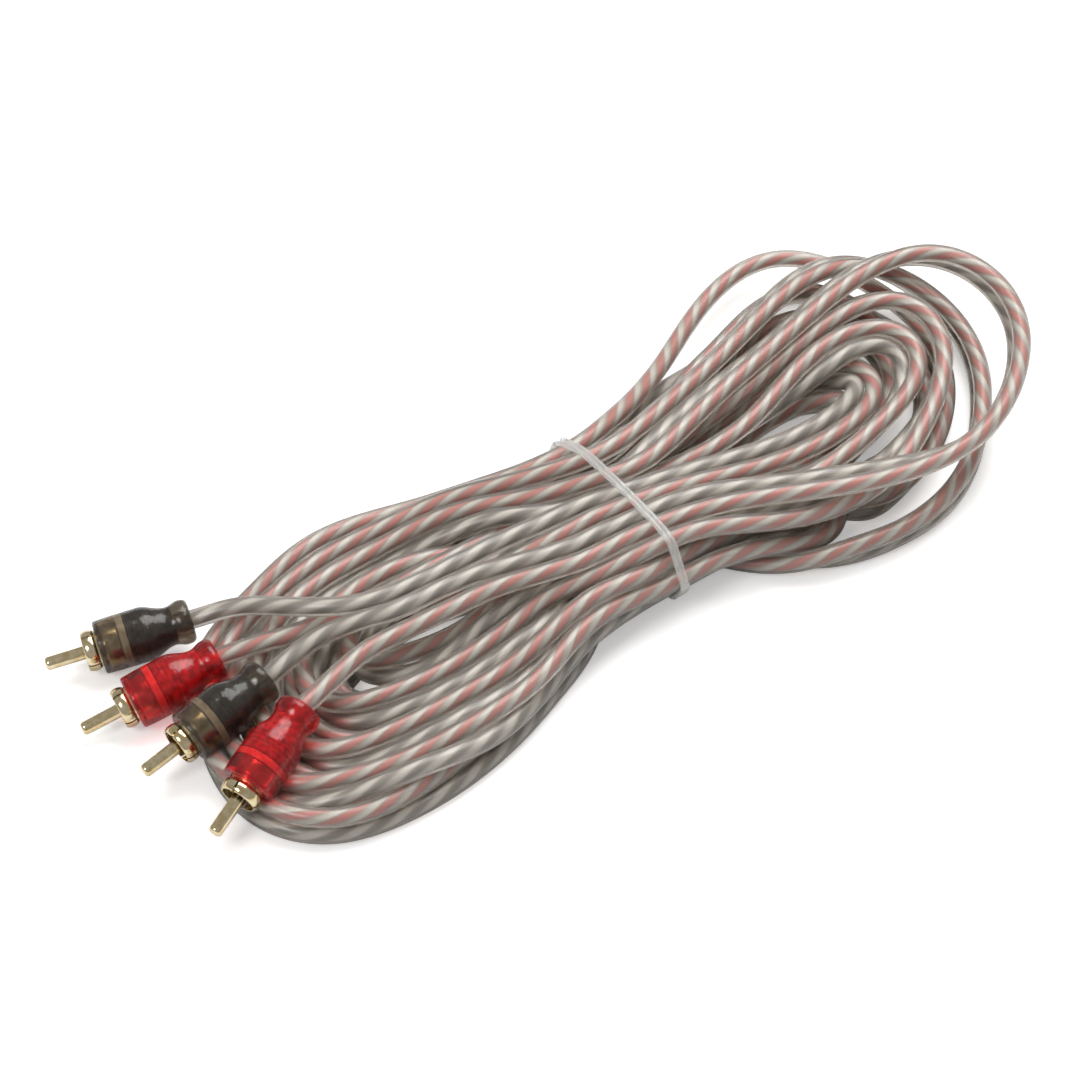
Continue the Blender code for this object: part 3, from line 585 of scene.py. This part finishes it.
def smooth_way(route, step):
    """Points a step apart along a smooth curve through the route, and how far through the route each is."""
    route = np.array(route, float)
    ends = np.vstack([2 * route[0] - route[1], route, 2 * route[-1] - route[-2]])
    share = np.linspace(0, 1, 12, endpoint=False)[:, None]
    fine, passed = [], []
    for at in range(len(route) - 1):
        before, here, there, after = ends[at:at + 4]
        fine.append(here + 0.5 * share * (there - before)
                    + 0.5 * share**2 * (2 * before - 5 * here + 4 * there - after)
                    + 0.5 * share**3 * (3 * here - before - 3 * there + after))
        passed.append(at + share[:, 0])
    fine = np.vstack(fine + [route[-1:]])
    passed = np.concatenate(passed + [[len(route) - 1.0]])
    run = np.concatenate([[0], np.cumsum(np.linalg.norm(np.diff(fine, axis=0), axis=1))])
    stops = np.linspace(0, run[-1], int(round(run[-1] / step)) + 1)
    return np.stack([np.interp(stops, run, fine[:, axis]) for axis in range(3)], 1), np.interp(stops, run, passed)


def directions(way):
    """The direction that the way runs in at each of its points."""
    along = np.gradient(way, axis=0)
    return along / np.linalg.norm(along, axis=1)[:, None]


def hank_ways():
    """The ways of the pink and the grey lead through the hank, as the loops are first laid."""
    places = tie_places()
    route, loops, in_tie = [], [], {}

    def lay(points, loop):
        route.extend(tuple(point) for point in points)
        loops.extend([loop] * len(points))

    def through_tie(key):
        pink, grey = places[key]
        in_tie[len(route)] = np.array([0.0, *(pink - grey)]) / np.linalg.norm(pink - grey)
        lay([(tie_x, *pink)], "tie")

    going_in = True
    for at, loop in enumerate(loop_order):
        if loop == "fold":
            through_tie(("near", "fold in"))
            lay(right_loops["fold"], loop)
            through_tie(("near", "fold out"))
            going_in = False
        elif loop in right_loops:
            sides = ("near", "far") if going_in else ("far", "near")
            through_tie((sides[0], loop))
            lay(right_loops[loop] if going_in else right_loops[loop][::-1], loop)
            through_tie((sides[1], loop))
        else:
            neighbours = [loop_order[at - 1], loop_order[at + 1]]
            if not going_in:
                neighbours.reverse()
            far = places["far", neighbours[0]][0]
            fold = "fold in" if going_in else "fold out"
            near = places["near", fold if neighbours[1] == "fold" else neighbours[1]][0]
            points = left_loop(loop, far, near)
            lay(points if going_in else points[::-1], loop)

    pink, passed = smooth_way(route, way_step)
    along = directions(pink)
    at_point = np.array(loops)[np.clip(np.round(passed).astype(int), 0, len(route) - 1)]
    # From the grey lead to the pink one: up and toward the viewer in the far loops, across in the loops at the
    # plugs' end, and in the plane of the turn where one twin lies inside the other
    lean = 1 - np.clip((pink[:, 0] - 85) / 25, 0, 1)
    over = np.stack([-0.407 * lean, np.full(len(pink), -0.563), np.full(len(pink), 0.719)], 1)
    rim_near = (at_point == "rim") & (pink[:, 1] < -25)
    share = np.clip((96 - pink[:, 0]) / 25, 0, 1)[:, None]
    over = np.where(rim_near[:, None], share * (0, 0.75, 0.66) + (1 - share) * over, over)
    over[np.isin(at_point, list(left_loops))] = (0, cos(radians(28)), sin(radians(28)))
    turning = (at_point == "middle") & (pink[:, 0] > 72)
    over[turning] = 0.85 * np.stack([along[:, 1], -along[:, 0], np.full(len(pink), 0.6)], 1)[turning]
    first = passed < len(right_loops["first"]) - 3
    outward = np.stack([0.95 * along[:, 1], -0.95 * along[:, 0], np.full(len(pink), -0.2)], 1)
    over[first] = outward[first]
    for at, direction in in_tie.items():
        distance = np.linalg.norm(pink - np.array(route[at]), axis=1)
        share = np.where(abs(passed - at) < 2.5, np.exp(-(distance / 9.0) ** 2), 0)[:, None]
        over = over * (1 - share) + share * direction
    for _ in range(12):
        over[1:-1] = (over[:-2] + over[2:] + 2 * over[1:-1]) / 4
        over -= (over * along).sum(1)[:, None] * along
        over /= np.linalg.norm(over, axis=1)[:, None]
    # On the far side of the widest loop the pink lead lies out on its own, and its twin stays inside
    lone = np.clip((pink[:, 1] - 6) / 20, 0, 1) * np.clip((pink[:, 0] - 35) / 30, 0, 1)
    lone = np.where(at_point == "wide", lone, 0)
    for _ in range(6):
        lone[1:-1] = (lone[:-2] + lone[2:] + 2 * lone[1:-1]) / 4
    lone = lone[:, None]
    away = np.stack([-10.5 * along[:, 1], 10.5 * along[:, 0], np.full(len(pink), 4.6)], 1)
    return pink, pink - (1 - lone) * twin_spacing * over - lone * away, lone


def close_stretches(points, lead, place, pair_place):
    """The pairs of points, each both ways round, that are near but neither neighbours nor twins."""
    rough = points.astype(np.float32)
    squares = (rough * rough).sum(1)
    squares = squares[:, None] + squares[None] - 2 * rough @ rough.T
    one, other = np.nonzero(np.triu(squares < (lead_diameter + 2) ** 2, 1))
    same = (lead[one] == lead[other]) & (abs(place[one] - place[other]) < 5)
    twin = (lead[one] != lead[other]) & (abs(pair_place[one] - pair_place[other]) < 3)
    twin &= pair_place[one] >= 0
    one, other = one[~(same | twin)], other[~(same | twin)]
    return np.concatenate([one, other]), np.concatenate([other, one])


def pressed_apart(points, along, one, other, size):
    """How far each point moves so that leads of that size no longer lie in each other."""
    apart = points[one] - points[other]
    ahead = (apart * along[other]).sum(1)
    apart -= ahead[:, None] * along[other]
    gap = np.maximum(np.linalg.norm(apart, axis=1), 1e-6)
    hit = (abs(ahead) <= 0.55 * way_step) & (gap < size + 0.03)
    push = 0.5 * apart[hit] * ((size + 0.03 - gap[hit]) / gap[hit])[:, None]
    move, pushes = np.zeros_like(points), np.zeros(len(points))
    for side, sign in ((one, 1), (other, -1)):
        np.add.at(move, side[hit], sign * push)
        np.add.at(pushes, side[hit], 1)
    return move / (0.7 * np.maximum(pushes, 1.4)[:, None])


def held_in(points, move):
    """Adds the moves that keep the leads inside the hank's reach and inside the tie."""
    x, y, z = points.T
    near, far, top = [np.interp(x, hank_reach[:, 0], hank_reach[:, column]) for column in (1, 2, 3)]
    half = lead_diameter / 2
    move[:, 1] += 0.5 * (np.clip(y, near + half, far - half) - y)
    move[:, 2] += 0.5 * (np.minimum(z, top - half) - z)
    out = out_of_tie(y, z)
    over = 0.8 * np.clip(out - 1, 0, None) / np.maximum(out, 1e-6) * np.exp(-((x - tie_x) / 8) ** 2)
    move[:, 1:] -= over[:, None] * (points[:, 1:] - tie_middle)


def twin_draw(pair, along, lone):
    """How far each twin moves so that the two lie side by side, a twin's spacing apart."""
    slip = (pair * along).sum(1)[:, None] * along
    pair = pair - slip
    spacing = np.linalg.norm(pair, axis=1)[:, None]
    return (0.45 * pair / spacing * (twin_spacing - spacing) - 0.1 * slip) * (lone < 0.02)


def kept_open(points, move):
    """Adds the moves that clear the leads from where the hank lies open to the viewer."""
    for x_seen, y_seen, half_open in openings:
        seen = np.array([x_seen, y_seen, 0.0])
        toward = (viewer - seen) / np.linalg.norm(viewer - seen)
        aside = points - seen
        aside -= (aside @ toward)[:, None] * toward
        reach = np.maximum(np.linalg.norm(aside, axis=1), 1e-6)
        move += 0.4 * aside * (np.clip(lead_diameter / 2 + half_open + 0.3 - reach, 0, None) / reach)[:, None]


def settled(ways, tails, lone, plan):
    """The two leads pressed apart until no stretch lies in another, each kept beside its twin and smooth."""
    count = [len(way) for way in ways]
    points = np.vstack(ways)
    lead = np.repeat([0, 1], count)
    place = np.concatenate([np.arange(n) for n in count])
    parts = [slice(0, count[0]), slice(count[0], sum(count))]
    twins = len(ways[0]) - sum(tails[0])
    beside = [np.arange(part.start + first, part.start + first + twins) for part, (first, _) in zip(parts, tails)]
    no_twin = -10**6
    pair_place = np.full(len(points), no_twin)
    pair_place[beside[0]] = pair_place[beside[1]] = np.arange(twins)
    free = np.zeros((len(points), 1))
    free[np.concatenate(beside)] = 1
    for turns, softness, size in plan:
        for turn in range(turns):
            along = np.vstack([directions(points[part]) for part in parts])
            if turn % 5 == 0:
                one, other = close_stretches(points, lead, place, pair_place)
            move = pressed_apart(points, along, one, other, size)
            held_in(points, move)
            draw = twin_draw(points[beside[0]] - points[beside[1]], along[beside[0]], lone)
            move[beside[0]] += draw
            move[beside[1]] -= draw
            kept_open(points, move)
            move *= free
            for part in parts:
                soft = move[part]
                for _ in range(softness):
                    soft[1:-1] = (soft[:-2] + 2 * soft[1:-1] + soft[2:]) / 4
            x, _, z = points.T
            lowest = lead_diameter / 2 + tie_room * np.clip(1 - (x - tie_x) ** 2 / 14**2, 0, 1)
            move[:, 2] += np.clip(lowest - z - move[:, 2], 0, None)
            points = points + move * free
            for part in parts:
                way = points[part]
                bend = np.zeros_like(way)
                bend[1:-1] = (way[:-2] + way[2:]) / 2 - way[1:-1]
                ease = np.zeros_like(way)
                ease[2:-2] = bend[2:-2] - (bend[1:-3] + bend[3:-1]) / 2
                way += 0.35 * ease * free[part]
    return [points[part] for part in parts]


def behind(end, back):
    """A place on a plug's axis, that far behind its boot's front face, in mm."""
    (x, y, z), heading, drop = plug_seats[end]
    heading, drop = radians(heading), radians(drop)
    return (x - back * cos(drop) * cos(heading), y - back * cos(drop) * sin(heading), z + back * sin(drop))


def lead_ways():
    """The middle of each lead from boot to boot, in mm: its first tail, the hank and its last tail."""
    tail = {end: smooth_way([behind(end, boot_length), *way], way_step)[0] for end, way in tail_ways.items()}
    *laid, lone = hank_ways()
    tails = [(tail["a_red"], tail["b_red"][::-1]), (tail["a_black"], tail["b_black"][::-1])]
    ways = [np.vstack([first, way, last]) for (first, last), way in zip(tails, laid)]
    # Each round: its number of turns, how far a push spreads along the lead, and how thick the leads count
    plan = [(80, 8, 0.9 * lead_diameter), (100, 5, lead_diameter), (100, 3, lead_diameter), (80, 2, lead_diameter),
            (60, 1, lead_diameter)]
    return settled(ways, [[len(part) for part in pair] for pair in tails], lone, plan)


def tube_along(name, way, radius, sides):
    """A round tube of that radius along the way, both in mm, with a map that runs along it and round it."""
    drawn = bpy.data.curves.new(name, "CURVE")
    drawn.dimensions = "3D"
    drawn.bevel_depth = radius * mm
    drawn.bevel_resolution = sides // 2 - 2
    drawn.use_fill_caps = True
    spline = drawn.splines.new("POLY")
    spline.points.add(len(way) - 1)
    spline.points.foreach_set("co", np.hstack([way * mm, np.ones((len(way), 1))]).ravel())
    helper = bpy.data.objects.new(name, drawn)
    bpy.context.scene.collection.objects.link(helper)
    bpy.context.view_layer.update()
    mesh = bpy.data.meshes.new_from_object(helper.evaluated_get(bpy.context.evaluated_depsgraph_get()))
    bpy.data.objects.remove(helper)
    mesh.shade_smooth()
    piece = bpy.data.objects.new(name, mesh)
    bpy.context.scene.collection.objects.link(piece)
    return piece


def clear_jacket(name, colour, clearness, roughness):
    """Clear PVC that is a little cloudy: it magnifies the bundles, veils them and darkens toward its edges."""
    made, tree, shader = new_material(name, colour, roughness, {"Transmission Weight": clearness, "IOR": 1.45})
    unevenness(tree, shader, 2.5, 0.02)
    tinted_shadow(tree, shader, colour)
    return made


def laid_up_bundles(name, stripes_and_painted_shade, length):
    """Bundles of fine lacquered strands in a spiral: soft colour bands, finely ridged along it, painted shade
    between strands.
    """
    made, tree, shader = new_material(name, "d0c8c0", 0.42, {})
    where = add_node(tree, "ShaderNodeUVMap", {}, {})
    split = add_node(tree, "ShaderNodeSeparateXYZ", {}, {0: where.outputs[0]})
    along = add_node(tree, "ShaderNodeMath", {"operation": "MULTIPLY", 1: length / bundle_pitch},
                     {0: split.outputs[0]})
    turned_by = add_node(tree, "ShaderNodeMath", {"operation": "MULTIPLY_ADD", 1: 2.0},
                         {0: split.outputs[1], 2: along.outputs[0]})
    spiral = add_node(tree, "ShaderNodeMath", {"operation": "FRACT"}, {0: turned_by.outputs[0]})
    # The bands' colours, with painted shade among them where two bundles meet
    bands = add_node(tree, "ShaderNodeValToRGB", {}, {0: spiral.outputs[0]})
    bands.color_ramp.interpolation = "B_SPLINE"
    stops = bands.color_ramp.elements
    stops[0].position, stops[0].color = stripes_and_painted_shade[0][0], linear(stripes_and_painted_shade[0][1])
    stops[1].position, stops[1].color = stripes_and_painted_shade[-1][0], linear(stripes_and_painted_shade[-1][1])
    for position, code in stripes_and_painted_shade[1:-1]:
        stops.new(position).color = linear(code)
    # Painted shade: each fine strand's colour is darkened toward the grooves beside it, down to 0.8 of the band's
    # colour
    strands = add_node(tree, "ShaderNodeMath", {"operation": "MULTIPLY", 1: strands_seen},
                       {0: turned_by.outputs[0]})
    rib = add_node(tree, "ShaderNodeMath", {"operation": "PINGPONG", 1: 0.5}, {0: strands.outputs[0]})
    shade = add_node(tree, "ShaderNodeMapRange", {1: 0.0, 2: 0.5, 3: 0.8, 4: 1.0}, {0: rib.outputs[0]})
    bands_with_painted_shade = add_node(tree, "ShaderNodeVectorMath", {"operation": "SCALE"},
                      {0: bands.outputs[0], "Scale": shade.outputs[0]})
    tree.links.new(bands_with_painted_shade.outputs[0], shader.inputs["Base Color"])
    ridges = add_node(tree, "ShaderNodeBump", {"Strength": 0.6, "Distance": 0.06 * mm}, {"Height": rib.outputs[0]})
    tree.links.new(ridges.outputs[0], shader.inputs["Normal"])
    return made


ways = lead_ways()
# The jacket is glassy with a soft shine, so each lead reads as a clear rim round its coloured core. The core's
# lacquered strands give satin bands: white, then pink or grey, with painted brown shade where two bundles meet.
pink_bands_and_painted_shade = ((0.0, "f2f2ee"), (0.22, "eaeae5"), (0.38, "a39a90"), (0.5, "e07c74"), (0.8, "dc766e"),
              (0.91, "a0958a"), (1.0, "f2f2ee"))
grey_bands_and_painted_shade = ((0.0, "f2f2ee"), (0.3, "eaeae5"), (0.44, "aaa299"), (0.55, "84837f"), (0.76, "8a8884"),
              (0.89, "a8a097"), (1.0, "f2f2ee"))
for name, way, (front, back), bands in (("lead_red", ways[0], ("a_red", "b_red"), pink_bands_and_painted_shade),
                                        ("lead_grey", ways[1], ("a_black", "b_black"), grey_bands_and_painted_shade)):
    way, _ = smooth_way([behind(front, -lead_end), *way, behind(back, -lead_end)], drawn_step)
    length = float(np.linalg.norm(np.diff(way, axis=0), axis=1).sum())
    lead = tube_along(name, way, lead_diameter / 2, 14)
    lead.data.materials.append(clear_jacket("clear soft PVC, extruded, " + name, "cdc8c1", 0.82, 0.27))
    bundles = tube_along(name + "_bundles", way, bundle_radius, 10)
    bundles.data.materials.append(laid_up_bundles("lacquered strands, laid up, " + name, bands, length))
    for piece in (lead, bundles):
        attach(piece, "root")
        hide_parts("cable_hank", "lead_tail_" + front, "lead_tail_" + back)

# The tie
# One length of clear soft PVC cord wound twice round the hank's waist, its turns lying side by side on top and
# a little apart over the far edge. It holds the hank, and its ends meet under it.
tie_radius = 0.6
tie_pitch = 1.15
tie_parting = 1.3
parting_at = 0.7  # round the waist, in radians from its far side upward
tie_play = 0.05

crossing = []
for way in ways:
    fine, _ = smooth_way(way, 0.8)
    crossing.append(fine[abs(fine[:, 0] - tie_x) < 1.6][:, 1:])
crossing = np.vstack(crossing)
turns = np.linspace(-pi / 2, 3.5 * pi, 220)
outline = []
for turn in turns:
    outward = np.array([cos(turn), sin(turn)])
    outline.append((crossing @ outward).max() + lead_diameter / 2 + tie_radius + tie_play)
outline = np.array(outline)
slope = np.gradient(outline, turns)
tie_way = []
for turn, reach, change in zip(turns, outline, slope):
    y = reach * cos(turn) - change * sin(turn)
    z = reach * sin(turn) + change * cos(turn)
    opened = tie_parting * np.exp(-((turn % (2 * pi) - parting_at) / 0.5) ** 2) * (1 if turn > pi else -1)
    x = tie_x - tie_pitch + tie_pitch * (turn + pi / 2) / (2 * pi) + opened / 2
    tie_way.append((x, y, max(z, tie_radius + tie_play)))
tie_way = np.array(tie_way)
for _ in range(6):
    tie_way[1:-1] = (tie_way[:-2] + 2 * tie_way[1:-1] + tie_way[2:]) / 4
tie = tube_along("tie", tie_way, tie_radius, 12)
# Clear soft PVC cord, whiter than the jackets where it is stretched, with long bright streaks along it
tie.data.materials.append(clear_jacket("clear soft PVC cord, stretched", "e9e9e7", 0.72, 0.15))
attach(tie, "root")
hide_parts("tie_strip")

# The floor, the light and the camera
# A white paper floor, one wide soft lamp overhead, a smaller one for the highlights, and the photo's view.
floor_shape = bmesh.new()
bmesh.ops.create_grid(floor_shape, x_segments=1, y_segments=1, size=3.0)
floor = bpy.data.objects.new("floor", finished(floor_shape, "floor", 30))
bpy.context.scene.collection.objects.link(floor)
# Matt white paper, which glows a little to the camera so that the ground stays as white as in the photo
paper, tree, shader = new_material("white paper, matt", "f7f7f7", 0.9, {"Emission Color": (1.0, 1.0, 1.0, 1.0)})
ray = add_node(tree, "ShaderNodeLightPath", {}, {})
glow = add_node(tree, "ShaderNodeMath", {"operation": "MULTIPLY", 1: 0.35}, {0: ray.outputs["Is Camera Ray"]})
tree.links.new(glow.outputs[0], shader.inputs["Emission Strength"])
floor.data.materials.append(paper)

studio = bpy.data.worlds.new("studio")
studio.use_nodes = True
studio.node_tree.nodes["Background"].inputs[0].default_value = (1.0, 1.0, 1.0, 1.0)
studio.node_tree.nodes["Background"].inputs[1].default_value = 0.39
bpy.context.scene.world = studio


def lamp(name, place, size, power):
    """A square soft lamp in metres and watts, turned toward the cable."""
    light = bpy.data.lights.new(name, "AREA")
    light.size = size
    light.energy = power
    stand = bpy.data.objects.new(name, light)
    stand.location = place
    stand.rotation_euler = Vector(place).to_track_quat("Z", "Y").to_euler()
    bpy.context.scene.collection.objects.link(stand)


lamp("overhead", (0.42, 0.24, 0.92), 0.8, 10.6)
lamp("highlight", (-0.75, -0.15, 0.8), 0.3, 3.2)

looked_at = Vector((-0.01125, 0.00105, 0.00409))
camera_distance = 0.72
turn, rise = radians(-35.9), radians(46.0)
camera = bpy.data.cameras.new("camera")
camera.lens = 100.0
camera.clip_start = 0.01
view = bpy.data.objects.new("camera", camera)
back = Vector((sin(turn) * cos(rise), -cos(turn) * cos(rise), sin(rise)))
view.location = looked_at + camera_distance * back
view.rotation_euler = back.to_track_quat("Z", "Y").to_euler()
bpy.context.scene.collection.objects.link(view)
bpy.context.scene.camera = view
bpy.context.scene.view_settings.view_transform = "Standard"
